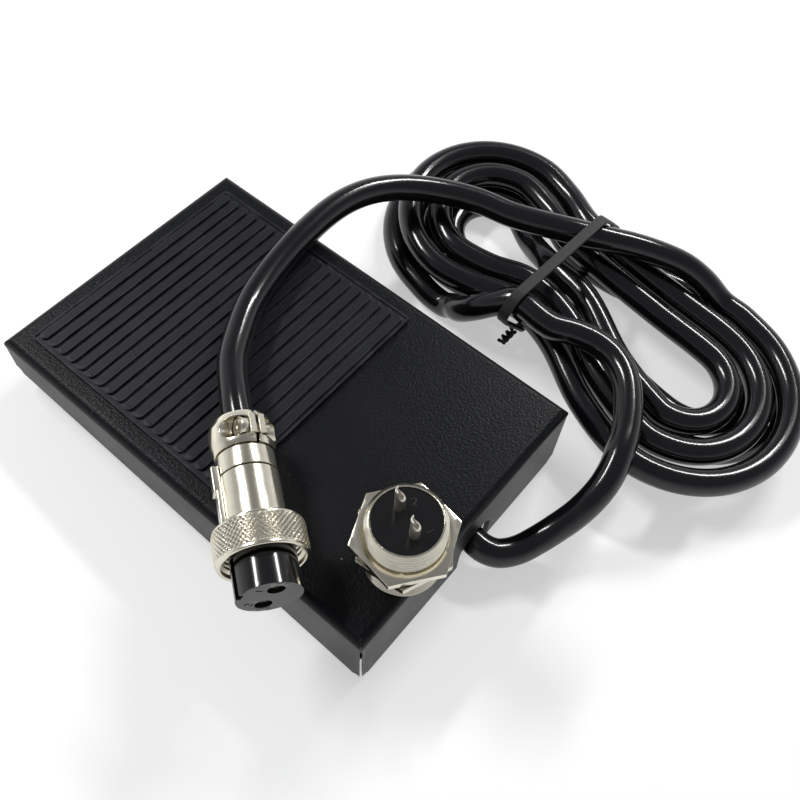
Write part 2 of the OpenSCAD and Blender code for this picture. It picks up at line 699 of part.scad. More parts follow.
module switch_screws() {
    color([0.8, 0.8, 0.78]) for (k = [0, 1])
        translate([switch_x + switch_t / 2 + fit_gap, screw_y0 + k * screw_pitch, screw_z]) rotate([0, -90, 0]) {
            cylinder(d = screw_d, h = switch_t + bracket_t + screw_d * 1.2);
            translate([0, 0, -screw_d * 0.6]) difference() {
                cylinder(d = screw_d * 1.8, h = screw_d * 0.6);
                translate([-screw_d, -screw_d * 0.12, -overrun])
                    cube([2 * screw_d, screw_d * 0.24, overrun + screw_d * 0.3]);
            }
        }
}
module switch_nuts() {
    color([0.8, 0.8, 0.78]) for (k = [0, 1])
        translate([switch_x - switch_t / 2 - bracket_t - 2 * fit_gap, screw_y0 + k * screw_pitch, screw_z])
            rotate([0, -90, 0]) difference() {
                hexagon(screw_d * 1.9, screw_d * 0.7);
                translate([0, 0, -overrun]) cylinder(d = screw_d + 2 * fit_gap, h = screw_d + 2 * overrun);
            }
}
module switch_terminals() {
    color([0.85, 0.75, 0.45]) for (s = terminal_y_shares)
        translate([switch_x - terminal_t / 2, case_y0 + s * switch_l - terminal_w / 2, case_z0 - terminal_l])
            cube([terminal_t, terminal_w, terminal_l]);
}
module terminal_sleeves() {
    color([0.1, 0.1, 0.1]) for (s = [terminal_y_shares[0], terminal_y_shares[2]])
        translate([switch_x - terminal_t / 2 - fit_gap - terminal_t, case_y0 + s * switch_l - terminal_w,
            case_z0 - terminal_l]) cube([terminal_t, terminal_w * 2, terminal_l - fit_gap]);
}
module lever_pin() {
    half = lever_w / 2 + run_gap + ear_t;
    color([0.75, 0.75, 0.75]) translate([switch_x - half, lever_y, lever_z]) rotate([0, 90, 0])
        cylinder(d = lever_pin_d, h = 2 * half);
}
module switch_lever() {
    top = lever_z + lever_barrel_d / 2;
    color([0.78, 0.78, 0.76]) difference() {
        union() {
            translate([switch_x - lever_w / 2, lever_y, lever_z]) rotate([0, 90, 0])
                cylinder(d = lever_barrel_d, h = lever_w);
            translate([switch_x - lever_w / 2, lever_y, top - lever_t]) cube([lever_w, lever_l, lever_t]);
        }
        translate([switch_x - lever_w, lever_y, lever_z]) rotate([0, 90, 0])
            cylinder(d = lever_pin_d + 2 * pin_clearance, h = 2 * lever_w);
    }
}
module switch_plunger() {
    top = lever_z + lever_barrel_d / 2 - lever_t - run_gap;
    foot = case_z1 - switch_h / 3 + 1.2;
    color([0.75, 0.15, 0.12])
        translate([switch_x - plunger_w / 2, lever_y + plunger_arm - plunger_l / 2, foot])
            cube([plunger_w, plunger_l, top - foot]);
}

// Wires and the cord inside the pedal
// One wire from the cord's end, past the brackets, to a terminal
function wire_route(dx, y_share) =
    let (ty = case_y0 + y_share * switch_l, tx = switch_x + terminal_t / 2 + fit_gap + wire_d / 2)
    [
        [exit_x + dx, cord_in_y + fit_gap, exit_z], [exit_x + dx, cord_in_y + wire_d, exit_z],
        [exit_x + 1.4 * dx, cord_in_y + 3 * wire_d, exit_z - wire_d / 2],
        [(exit_x + tx) / 2 + dx, (cord_in_y + ty) / 2, case_z0 - terminal_l / 2 - wire_d * 0.2],
        [tx + wire_d, ty - 2 * wire_d, case_z0 - terminal_l / 2],
        [tx, ty - wire_d * 0.6, case_z0 - terminal_l / 2], [tx, ty + wire_d, case_z0 - terminal_l / 2]
    ];
module wire_red() {
    color([0.7, 0.1, 0.08]) tube(smooth_route(wire_route(wire_d * 0.6, terminal_y_shares[2]), 3), wire_d / 2, 8);
}
module wire_black() {
    color([0.1, 0.1, 0.1]) tube(smooth_route(wire_route(-wire_d * 0.6, terminal_y_shares[0]), 3), wire_d / 2, 8);
}
module cord_inner() {
    color([0.05, 0.05, 0.055]) translate([exit_x, cord_out_y, exit_z]) rotate([-90, 0, 0])
        cylinder(d = cord_d, h = cord_in_y - cord_out_y);
}
module each_saddle_screw() {
    for (x = [-1, 1])
        translate([exit_x + x * (cord_d / 2 + saddle_t + saddle_foot / 2), saddle_y, 0]) children();
}
module cord_saddle() {
    r = cord_d / 2 + fit_gap;
    color([0.7, 0.7, 0.68]) difference() {
        union() {
            translate([exit_x, saddle_y + saddle_l / 2, exit_z]) rotate([90, 0, 0])
                cylinder(r = r + saddle_t, h = saddle_l);
            translate([exit_x - r - saddle_t, saddle_y - saddle_l / 2, base_top])
                cube([2 * (r + saddle_t), saddle_l, exit_z - base_top]);
            translate([exit_x - r - saddle_t - saddle_foot, saddle_y - saddle_l / 2, base_top])
                cube([2 * (r + saddle_t + saddle_foot), saddle_l, saddle_t]);
        }
        translate([exit_x, saddle_y + saddle_l, exit_z]) rotate([90, 0, 0]) cylinder(r = r, h = 2 * saddle_l);
        translate([exit_x - r, saddle_y - saddle_l, -overrun]) cube([2 * r, 2 * saddle_l, exit_z + overrun]);
        each_saddle_screw() cylinder(d = saddle_screw_d, h = exit_z);
    }
}
module saddle_screws() {
    color([0.8, 0.8, 0.78]) each_saddle_screw() {
        translate([0, 0, sole_t]) cylinder(d = saddle_screw_d - 2 * fit_gap, h = base_t + saddle_t);
        translate([0, 0, base_top + saddle_t]) difference() {
            cylinder(d = saddle_screw_d * 1.7, h = saddle_screw_d * 0.6);
            translate([0, 0, saddle_screw_d * 0.9])
                cube([saddle_screw_d * 2, saddle_screw_d * 0.24, saddle_screw_d], center = true);
        }
    }
}
module cord_grommet() {
    flange = grommet_flange_t;
    color([0.07, 0.07, 0.07]) translate([exit_x, base_y0 - flange, exit_z]) rotate([-90, 0, 0]) difference() {
        union() {
            cylinder(d = grommet_d, h = base_t + 2 * flange);
            cylinder(d = grommet_flange_d, h = flange - fit_gap);
            translate([0, 0, base_t + flange + fit_gap]) cylinder(d = grommet_flange_d, h = flange - fit_gap);
        }
        translate([0, 0, -overrun]) cylinder(d = cord_d + 2 * fit_gap, h = base_t + 2 * flange + 2 * overrun);
        translate([-grommet_flange_d, exit_z - base_top - fit_gap, base_t / 2 + flange])
            cube([2 * grommet_flange_d, grommet_d, flange * 2 + base_t]);
    }
}

// Pedal: the cover and what is fixed to it
module pedal_cover() {
    corner_x = pedal_w / 2;
    corner_y = pedal_l / 2;
    color([0.07, 0.07, 0.075]) in_cover() difference() {
        wedge(pedal_l, pedal_w, toe_wall_h, heel_wall_h, bend_r);
        translate([0, 0, -sheet_t])
            wedge(inner_l, inner_w, heel_wall_h + overrun, heel_wall_h + overrun, inner_bend_r);
        for (x = [-1, 1]) for (y = [-1, 1]) translate([x * corner_x, y * corner_y, -bend_r - slit_w]) {
            rotate([0, 0, 45 * x * y]) translate([-bend_r * 2, -slit_w / 2, -heel_wall_h])
                cube([bend_r * 4, slit_w, heel_wall_h]);
        }
        for (x = [-1, 1]) {
            translate([x * corner_x, corner_y, -toe_wall_h]) rotate([90, 0, 45 * x])
                translate([0, 0, -bend_r * 2]) cylinder(r = slit_w * 3, h = bend_r * 4, $fn = 24);
            translate([x * corner_x, -corner_y, -heel_wall_h]) rotate([90, 0, -45 * x])
                translate([0, 0, -bend_r * 2]) cylinder(r = slit_w * 3, h = bend_r * 4, $fn = 24);
        }
        cord_notch();
    }
}
// Slot in the heel wall that the cord passes through
module cord_notch() {
    top = world_to_cover(cord_out_y, notch_z)[1];
    translate([exit_x, -pedal_l / 2 - overrun, top - notch_w / 2]) rotate([-90, 0, 0])
        cylinder(d = notch_w, h = sheet_t * 2 + overrun);
    translate([exit_x - notch_w / 2, -pedal_l / 2 - overrun, -heel_wall_h - overrun])
        cube([notch_w, sheet_t * 2 + overrun, heel_wall_h + overrun + top - notch_w / 2]);
}
mat_y1 = pedal_l / 2 - mat_margin;
rib_count = floor((mat_l - mat_border - rib_w) / rib_pitch) + 1;
rim_w = 0.5;
module rubber_mat() {
    rib_l = mat_w - 2 * mat_border;
    color([0.075, 0.08, 0.09]) in_cover() translate([0, mat_y1 - mat_l / 2, 0]) {
        linear_extrude(mat_t) round_rect(mat_w, mat_l, bend_r / 2);
        linear_extrude(mat_t + rib_h / 2) difference() {
            round_rect(mat_w, mat_l, bend_r / 2);
            square([mat_w - 2 * rim_w, mat_l - 2 * rim_w], center = true);
        }
        for (i = [0 : rib_count - 1]) translate([0, (i - (rib_count - 1) / 2) * rib_pitch, 0])
            linear_extrude(mat_t + rib_h) {
                square([rib_l - rib_w, rib_w], center = true);
                for (x = [-1, 1]) translate([x * (rib_l - rib_w) / 2, 0]) circle(d = rib_w, $fn = 24);
            }
    }
}
module hinge_lugs() {
    color([0.09, 0.09, 0.095]) in_cover() for (x = [-1, 1]) mirror([x < 0 ? 1 : 0, 0, 0]) difference() {
        union() {
            translate([lug_x, hinge_c[0] - boss_d / 2, hinge_c[1]]) cube([bracket_t, boss_d, -sheet_t - hinge_c[1]]);
            translate([lug_x, hinge_c[0], hinge_c[1]]) rotate([0, 90, 0]) cylinder(d = boss_d, h = bracket_t);
            translate([lug_x, hinge_c[0] - boss_d / 2, -sheet_t - bracket_t])
                cube([bracket_t * 3, boss_d, bracket_t]);
        }
        translate([lug_x - overrun, hinge_c[0], hinge_c[1]]) rotate([0, 90, 0])
            cylinder(d = pin_d + 2 * pin_clearance, h = bracket_t + 2 * overrun);
    }
}
module striker_stud() {
    tip = lever_z + lever_barrel_d / 2 + run_gap;
    at = world_to_cover(stud_y, tip);
    color([0.7, 0.7, 0.68]) in_cover() translate([switch_x, at[0], at[1]]) {
        translate([0, 0, stud_d * 0.1]) cylinder(d = stud_d * 0.7, h = -sheet_t - at[1] - stud_d * 0.1);
        cylinder(d1 = stud_d * 0.5, d2 = stud_d * 0.7, h = stud_d * 0.1);
        translate([0, 0, -sheet_t - at[1] - 1]) cylinder(d = stud_d, h = 1);
    }
}
module spring_boss() {
    at = world_to_cover(spring_y, spring_z1);
    color([0.7, 0.7, 0.68]) in_cover() translate([0, at[0], 0]) {
        translate([0, 0, -sheet_t - seat_t]) cylinder(d = spring_d + 2 * spring_wire_d, h = seat_t);
        translate([0, 0, -sheet_t - seat_t - seat_post_h / 2]) cylinder(d = seat_post_d, h = seat_post_h / 2);
    }
}
module stop_tab() {
    lip = world_to_cover(hook_y + stop_t + 2 * run_gap, tab_lip_z);
    y1 = inner_l / 2;
    color([0.7, 0.7, 0.68]) in_cover() {
        translate([-stop_w / 2, y1 - stop_t, lip[1]]) cube([stop_w, stop_t, -sheet_t - inner_bend_r - lip[1]]);
        translate([-stop_w / 2, lip[0], lip[1]]) cube([stop_w, y1 - lip[0], stop_t]);
    }
}

// Cord outside the pedal
module cord_lead() {
    color([0.05, 0.05, 0.055]) tube(lead_centres, cord_d / 2, cord_sides, [0, -1, 0], hank_dir);
}
module cord_hank() {
    color([0.05, 0.05, 0.055]) tube(hank_centres, cord_d / 2, hank_sides, hank_dir, hank_dir);
}
module cord_tail() {
    color([0.05, 0.05, 0.055]) tube(tail_centres, cord_d / 2, cord_sides, hank_dir, plug_dir);
}
// The strands that the tie goes round, as places across the hank: sideways and up
tie_reach = tie_w / 2 + 1;
// A point in the hank's own frame
function hank_local(p) = let (d = [p[0] - hank_x, p[1] - hank_y])
    [d[0] * cos(hank_turn) + d[1] * sin(hank_turn), d[1] * cos(hank_turn) - d[0] * sin(hank_turn), p[2]];
// Where a run of cord passes a place along the hank, sideways and up
function strands_at(c, u) = [for (i = [0 : len(c) - 2])
    let (a = hank_local(c[i]), b = hank_local(c[i + 1]))
    if ((a[1] - u) * (b[1] - u) <= 0 && a[1] != b[1])
        let (k = (u - a[1]) / (b[1] - a[1])) [a[0] + k * (b[0] - a[0]), a[2] + k * (b[2] - a[2])]];
tie_strands = [for (c = [hank_centres, lead_centres, tail_centres]) for (u = [tie_u - tie_reach, tie_u + tie_reach])
    each strands_at(c, u)];
tie_left_x = min([for (p = tie_strands) if (p[1] < layer_z2) p[0]]);
module tie_outline(extra) {
    hull() for (p = tie_strands) translate(p) circle(cord_d / 2 + extra, $fn = 32);
}
module in_hank() {
    translate([hank_x, hank_y, 0]) rotate([0, 0, hank_turn]) children();
}
module cord_tie() {
    color([0.07, 0.07, 0.07]) in_hank() translate([0, tie_u + tie_w / 2, 0]) rotate([90, 0, 0])
        linear_extrude(tie_w) difference() {
            tie_outline(run_gap + tie_t);
            tie_outline(run_gap);
        }
}
// The band's two ends, twisted together beside the hank
module tie_ends() {
    steps = 16;
    x0 = tie_left_x - cord_d / 2 - run_gap - tie_t;
    color([0.07, 0.07, 0.07]) in_hank() for (k = [0, 1])
        tube([for (i = [0 : steps])
            let (a = 360 * 1.5 * i / steps + 180 * k)
            [x0 - 1.1 - 4.5 * i / steps, tie_u + tie_t * cos(a), 3.2 + tie_t * sin(a) - i / steps]], tie_t * 0.6, 6);
}

// Plug on the cord's end
module clamp_half() {
    difference() {
        union() {
            intersection() {
                rotate_extrude() polygon([
                    [0, clamp_z0], [clamp_d / 2 - 0.6, clamp_z0], [clamp_d / 2, clamp_z0 + clamp_l / 4],
                    [clamp_d / 2, clamp_z0 + clamp_l * 0.6], [collar_d / 2 + 0.2, clamp_z1], [0, clamp_z1]
                ]);
                translate([clamp_split / 2, -clamp_d, clamp_z0]) cube([clamp_d, 2 * clamp_d, clamp_l]);
            }
            for (y = [-1, 1]) translate([clamp_split / 2, y * clamp_screw_r - clamp_ear_w / 2,
                clamp_screw_z - clamp_ear_w / 2]) cube([clamp_ear_h, clamp_ear_w, clamp_ear_w]);
        }
        translate([0, 0, clamp_z0 - overrun]) cylinder(d = cord_d + 2 * fit_gap, h = clamp_l + 2 * overrun);
        for (y = [-1, 1]) translate([-overrun, y * clamp_screw_r, clamp_screw_z]) rotate([0, 90, 0])
            cylinder(d = clamp_screw_d + 2 * fit_gap, h = clamp_d);
        for (y = [-1, 1]) translate([clamp_split / 2 + clamp_ear_h, y * clamp_screw_r, clamp_screw_z])
            rotate([0, 90, 0]) cylinder(d = clamp_screw_d * 2 + 2 * fit_gap, h = clamp_d);
    }
}
module in_clamp() {
    in_plug() rotate([0, 0, clamp_roll]) children();
}
module plug_clamp_left() {
    color([0.72, 0.7, 0.64]) in_clamp() clamp_half();
}
module plug_clamp_right() {
    color([0.72, 0.7, 0.64]) in_clamp() rotate([0, 0, 180]) clamp_half();
}
module plug_clamp_screws() {
    shank = clamp_split + 2 * clamp_ear_h;
    color([0.72, 0.7, 0.64]) in_clamp() for (y = [-1, 1])
        translate([-shank / 2, y * clamp_screw_r, clamp_screw_z]) rotate([0, 90, 0]) {
            translate([0, 0, -clamp_screw_d * 0.7]) cylinder(d = clamp_screw_d, h = shank + clamp_screw_d * 0.7);
            translate([0, 0, shank + fit_gap]) difference() {
                cylinder(d = clamp_screw_d * 1.8, h = clamp_screw_d * 0.7);
                translate([-clamp_screw_d, -clamp_screw_d * 0.12, clamp_screw_d * 0.35])
                    cube([2 * clamp_screw_d, clamp_screw_d * 0.24, clamp_screw_d]);
            }
            translate([0, 0, shank]) cylinder(d = clamp_screw_d, h = fit_gap * 2);
        }
}
module plug_collar() {
    color([0.72, 0.7, 0.64]) in_plug() difference() {
        union() {
            translate([0, 0, collar_z0]) cylinder(d = collar_d, h = collar_l);
            translate([0, 0, clamp_z1 + fit_gap]) cylinder(d = neck_d, h = neck_l);
            translate([0, 0, barrel_z0 - groove_w])
                cylinder(d = barrel_d - 2 * barrel_wall - 2 * fit_gap, h = 4 + groove_w);
        }
        translate([0, 0, clamp_z1 - overrun]) cylinder(d = cord_d + 2 * fit_gap, h = barrel_l);
    }
}
module plug_barrel() {
    color([0.72, 0.7, 0.64]) in_plug() difference() {
        union() {
            translate([0, 0, barrel_z0]) cylinder(d = barrel_d, h = barrel_l + insert_z0 - fit_gap);
            translate([0, 0, insert_z0 - fit_gap - barrel_flange_t]) cylinder(d = barrel_flange_d, h = barrel_flange_t);
        }
        translate([0, 0, barrel_z0 - overrun])
            cylinder(d = barrel_d - 2 * barrel_wall, h = barrel_l + insert_z0 + 2 * overrun);
    }
}
// Raised strip along the barrel, thicker at its rear end
module plug_key() {
    back = -ring_l / 2 - run_gap;
    key_z0 = barrel_z0 - key_back;
    color([0.76, 0.74, 0.68]) in_plug() rotate([0, 0, -100]) difference() {
        union() {
            translate([barrel_d / 2 - key_h, -key_w / 2, key_z0]) cube([2 * key_h, key_w, back - key_z0]);
            translate([barrel_d / 2 - key_h, -key_w / 2, key_z0])
                cube([2 * key_h + key_boss_h, key_w, key_boss_l]);
        }
        translate([0, 0, key_z0 - overrun]) cylinder(d = barrel_d + 2 * fit_gap, h = barrel_l + key_back + overrun);
    }
}
module plug_insert() {
    color([0.03, 0.03, 0.032]) in_plug() rotate([0, 0, plug_roll]) difference() {
        union() {
            translate([0, 0, insert_z0]) cylinder(d = insert_d, h = insert_z1 - insert_z0);
            translate([0, 0, insert_z0 - stem_l]) cylinder(d = insert_stem_d, h = stem_l + overrun);
        }
        for (x = [-1, 1]) translate([x * contact_pitch / 2, 0, insert_z0 - overrun - stem_l])
            cylinder(d = contact_d + 2 * contact_wall + 2 * fit_gap, h = insert_z1);
        for (x = [-1, 1]) translate([x * contact_pitch / 2, 0, 0])
            cylinder(d = contact_d + 2 * fit_gap + 2 * contact_wall, h = insert_z1 + overrun);
        for (x = [-1, 1]) translate([x * contact_pitch / 2, 0, insert_z1 - 1]) cylinder(d = contact_mouth_d, h = 1 + overrun);
        rotate([0, 0, -90]) translate([insert_d / 2 - keyway_depth, -keyway_w / 2, ring_l / 2 - overrun])
            cube([keyway_depth * 2, keyway_w, insert_z1]);
    }
}
module plug_contacts() {
    color([0.83, 0.72, 0.4]) in_plug() rotate([0, 0, plug_roll]) for (x = [-1, 1])
        translate([x * contact_pitch / 2, 0, 0]) {
            translate([0, 0, insert_z0]) difference() {
                cylinder(d = contact_d + 2 * contact_wall, h = insert_z1 - insert_z0 - 1);
                translate([0, 0, overrun]) cylinder(d = contact_d + 2 * fit_gap, h = insert_z1);
            }
            translate([0, 0, insert_z0 - 7]) cylinder(d = contact_d, h = 8);
        }
}
module ring_clip() {
    color([0.72, 0.7, 0.64]) in_plug() translate([0, 0, -ring_l / 2 - run_gap - groove_w])
        difference() {
            ring_shape(barrel_d + 1.2, barrel_d + 2 * fit_gap, groove_w);
            rotate([0, 0, -100]) translate([0, -key_w / 2 - fit_gap, -overrun])
                cube([barrel_d, key_w + 2 * fit_gap, groove_w + 2 * overrun]);
        }
}
module coupling_ring() {
    bore_z0 = -ring_l / 2 + ring_back_t;
    color([0.78, 0.76, 0.7]) in_plug() difference() {
        rotate_extrude() polygon([
            [0, -ring_l / 2], [ring_d / 2 - ring_chamfer, -ring_l / 2], [ring_d / 2, -ring_l / 2 + ring_chamfer],
            [ring_d / 2, ring_l / 2 - ring_chamfer], [ring_d / 2 - ring_chamfer, ring_l / 2], [0, ring_l / 2]
        ]);
        translate([0, 0, -ring_l / 2 - overrun]) cylinder(d = ring_bore_d, h = ring_l + 2 * overrun);
        translate([0, 0, bore_z0]) thread_rings(thread_crest_d, thread_root_d, ring_l - ring_back_t + overrun);
    }
}

// Loose panel socket, standing on the cover with its solder side up
module socket_shell() {
    color([0.74, 0.71, 0.62]) in_socket() difference() {
        union() {
            thread_rings(thread_crest_d, thread_d, mate_l);
            translate([0, 0, mate_l]) rotate([0, 0, socket_flange_turn]) hexagon(flange_af, flange_t);
            translate([0, 0, web_z1]) thread_rings(thread_crest_d, thread_d - 2 * socket_thread_clear,
                socket_l - web_z1);
        }
        translate([0, 0, -overrun]) cylinder(d = mate_bore_d, h = web_z0 + overrun);
        translate([0, 0, -overrun]) cylinder(d = web_bore_d, h = socket_l + 2 * overrun);
        translate([0, 0, web_z1]) cylinder(d = rear_bore_d, h = socket_l);
        translate([0, 0, socket_l - rear_chamfer]) difference() {
            cylinder(d = 2 * thread_d, h = rear_chamfer + overrun);
            cylinder(d1 = thread_d, d2 = rear_bore_d + 2 * rear_lip, h = rear_chamfer + 0.001);
        }
    }
}
module each_contact() {
    rotate([0, 0, pin_line_turn]) for (x = [-1, 1]) translate([x * contact_pitch / 2, 0, 0]) children();
}
module socket_insert() {
    color([0.03, 0.03, 0.032]) in_socket() difference() {
        union() {
            translate([0, 0, web_z1 + fit_gap])
                cylinder(d = rear_bore_d - 2 * fit_gap, h = socket_l - web_z1 - fit_gap - rim_recess);
            translate([0, 0, web_z0]) cylinder(d = web_bore_d - 2 * fit_gap, h = web_z1 - web_z0 + 2 * fit_gap);
        }
        each_contact() cylinder(d = contact_d + 2 * fit_gap, h = socket_l + overrun);
    }
}
// Each pin runs through the insert and ends in an open cup for the solder
module socket_pins() {
    cup_l = solder_l * cup_l_share;
    top = socket_l + solder_l;
    color([0.8, 0.76, 0.62]) in_socket() each_contact() difference() {
        translate([0, 0, web_z0 - pin_mate_l]) cylinder(d = contact_d, h = top - web_z0 + pin_mate_l);
        translate([0, 0, top - cup_l]) cylinder(d = contact_d - 2 * contact_wall, h = cup_l + overrun);
        rotate([0, 0, cup_turn - pin_line_turn]) translate([scoop_out, 0, top - contact_d * 0.3]) rotate([90, 0, 0])
            cylinder(r = scoop_r, h = contact_d * 2, center = true);
    }
}
module socket_washer() {
    color([0.74, 0.71, 0.62]) in_socket() translate([0, 0, web_z1 + fit_gap / 2])
        ring_shape(nut_af - 1, thread_d + 2 * fit_gap, washer_t - fit_gap);
}
module socket_nut() {
    color([0.74, 0.71, 0.62]) in_socket() translate([0, 0, nut_z0]) difference() {
        intersection() {
            rotate([0, 0, nut_turn]) hexagon(nut_af, nut_t);
            rotate_extrude() polygon([
                [0, 0], [nut_af, 0], [nut_af, nut_t - nut_chamfer * 1.4],
                [nut_af / 2, nut_t - nut_chamfer * 0.2], [nut_af / 2 - nut_chamfer, nut_t], [0, nut_t]
            ]);
        }
        translate([0, 0, -overrun])
            cylinder(d = thread_d - 2 * socket_thread_clear + 2 * pin_clearance, h = nut_t + 2 * overrun);
    }
}

echo(least_hank_gap_mm = hank_self_gap);
echo(lead_mm = route_l(lead_centres), hank_mm = route_l(hank_centres), tail_mm = route_l(tail_centres));
echo(rings = len(lead_centres) + len(tail_centres), press_angle = press_angle);

rubber_sole();
base_plate();
hinge_bracket_left();
hinge_bracket_right();
bracket_rivets();
hinge_pin();
pin_clips();
stop_hook();
stop_pad();
spring_seat();
return_spring();
switch_bracket();
switch_case();
switch_lid();
switch_screws();
switch_nuts();
switch_terminals();
terminal_sleeves();
lever_pin();
switch_lever();
switch_plunger();
wire_red();
wire_black();
cord_inner();
cord_saddle();
saddle_screws();
cord_grommet();
pedal_cover();
rubber_mat();
hinge_lugs();
striker_stud();
spring_boss();
stop_tab();
cord_lead();
cord_hank();
cord_tail();
cord_tie();
tie_ends();
plug_clamp_left();
plug_clamp_right();
plug_clamp_screws();
plug_collar();
plug_barrel();
plug_key();
plug_insert();
plug_contacts();
ring_clip();
coupling_ring();
socket_shell();
socket_insert();
socket_pins();
socket_washer();
socket_nut();
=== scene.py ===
"""The foot switch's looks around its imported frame: cord, tie, plug, panel socket, paint and rubber."""

import math

import bmesh
import bpy
from mathutils import Matrix, Vector
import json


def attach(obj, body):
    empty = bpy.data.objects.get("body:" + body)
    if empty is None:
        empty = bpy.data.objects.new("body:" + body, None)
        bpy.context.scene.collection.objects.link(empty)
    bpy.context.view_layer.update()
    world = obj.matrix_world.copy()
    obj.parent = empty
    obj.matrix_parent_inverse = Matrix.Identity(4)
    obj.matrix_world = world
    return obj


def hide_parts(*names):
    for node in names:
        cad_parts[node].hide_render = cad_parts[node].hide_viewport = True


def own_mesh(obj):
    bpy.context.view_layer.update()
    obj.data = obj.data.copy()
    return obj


MM = 0.001

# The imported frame

bpy.ops.wm.read_factory_settings(use_empty=True)
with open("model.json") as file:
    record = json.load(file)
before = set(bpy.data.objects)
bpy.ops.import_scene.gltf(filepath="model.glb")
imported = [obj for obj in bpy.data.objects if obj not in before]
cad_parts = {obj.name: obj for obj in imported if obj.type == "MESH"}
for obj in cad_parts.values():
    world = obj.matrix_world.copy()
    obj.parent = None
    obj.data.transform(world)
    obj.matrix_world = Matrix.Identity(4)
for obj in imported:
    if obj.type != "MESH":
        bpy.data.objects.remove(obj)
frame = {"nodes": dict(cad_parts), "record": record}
NODES = frame["nodes"]
scene = bpy.context.scene

# Cover: its slope and place. All lengths in mm until a mesh is made
PEDAL_L, TOE_GAP, HEEL_GAP, TOE_H, HEEL_H = 106.0, 4.7, 1.3, 11.3, 21.8
SLOPE = math.atan((HEEL_H - TOE_H) / PEDAL_L) - math.asin((TOE_GAP - HEEL_GAP) / PEDAL_L)
COVER_Y = HEEL_H * math.sin(SLOPE) / 2
COVER_Z = TOE_GAP + PEDAL_L / 2 * math.sin(SLOPE) + TOE_H * math.cos(SLOPE)
COVER = Matrix.Translation((0, COVER_Y, COVER_Z)) @ Matrix.Rotation(-SLOPE, 4, "X")

# Plug: the coupling ring's middle on the cover, and the way that the plug points
RING_D, RING_L = 18.0, 7.0
RING_X, RING_Y, RING_CLEAR = -34.2, -26.6, 0.45
RING = Vector((RING_X, RING_Y, COVER_Z - (RING_Y - COVER_Y) * math.tan(SLOPE) + RING_D / 2 + RING_CLEAR))
PLUG_AZ, PLUG_LIFT = math.radians(-126.4), math.radians(4.8)
PLUG_TURN = Matrix.Rotation(PLUG_AZ, 4, "Z") @ Matrix.Rotation(math.pi / 2 - PLUG_LIFT, 4, "Y")
PLUG = Matrix.Translation(RING) @ PLUG_TURN
PLUG_DIR = (PLUG.to_3x3() @ Vector((0, 0, 1))).normalized()

# Panel socket: its foot on the cover
SOCKET = COVER @ Matrix.Translation((-15.56, -47.24, 0.3))


# Putting pieces into the scene

def link(obj):
    scene.collection.objects.link(obj)
    return obj


def mesh_object(name, bm):
    me = bpy.data.meshes.new(name)
    bm.to_mesh(me)
    bm.free()
    return link(bpy.data.objects.new(name, me))


def shade_smooth(obj, angle=None):
    for p in obj.data.polygons:
        p.use_smooth = True
    if angle is not None:
        obj.data.set_sharp_from_angle(angle=math.radians(angle))


def soften_edges(obj, width, sharper_than=35):
    """Rounds the sharp edges of a piece by this width and keeps its faces flat."""
    weld = obj.modifiers.new("weld", "WELD")
    weld.merge_threshold = 0.002 * MM
    rounding = obj.modifiers.new("bevel", "BEVEL")
    rounding.width = width * MM
    rounding.segments = 2
    rounding.limit_method = "ANGLE"
    rounding.angle_limit = math.radians(sharper_than)
    shade_smooth(obj)
    flat_faces = obj.modifiers.new("flat_faces", "WEIGHTED_NORMAL")
    flat_faces.weight = 100


# Finishes

def node_math(tree, op, a, b):
    """A Math node in a tree; each side is a number or a socket."""
    n = tree.nodes.new("ShaderNodeMath")
    n.operation = op
    for socket, v in zip(n.inputs, (a, b)):
        if isinstance(v, (int, float)):
            socket.default_value = v
        else:
            tree.links.new(v, socket)
    return n.outputs[0]


def new_effect(name, inputs, output, kind="NodeSocketFloat"):
    """An empty node group with these number inputs and one output."""
    tree = bpy.data.node_groups.new(name, "ShaderNodeTree")
    for key in inputs:
        tree.interface.new_socket(name=key, in_out="INPUT", socket_type="NodeSocketFloat")
    tree.interface.new_socket(name=output, in_out="OUTPUT", socket_type=kind)
    given = tree.nodes.new("NodeGroupInput").outputs
    result = tree.nodes.new("NodeGroupOutput").inputs[output]
    return tree, given, result


def grain_effect():
    """Uneven grain on the piece's own coordinates: a height between 0 and 1."""
    tree, given, result = new_effect("grain", ("Scale", "Detail", "Roughness"), "Height")
    noise = tree.nodes.new("ShaderNodeTexNoise")
    tree.links.new(tree.nodes.new("ShaderNodeTexCoord").outputs["Object"], noise.inputs["Vector"])
    for key in ("Scale", "Detail", "Roughness"):
        tree.links.new(given[key], noise.inputs[key])
    tree.links.new(noise.outputs["Fac"], result)
    return tree


def edge_round_effect():
    """Rounds the light over sharp edges: the normal of a fillet with this radius in metres."""
    tree, given, result = new_effect("edge_round", ("Radius",), "Normal", "NodeSocketVector")
    fillet = tree.nodes.new("ShaderNodeBevel")
    fillet.samples = EDGE_SAMPLES
    tree.links.new(given["Radius"], fillet.inputs["Radius"])
    tree.links.new(fillet.outputs["Normal"], result)
    return tree


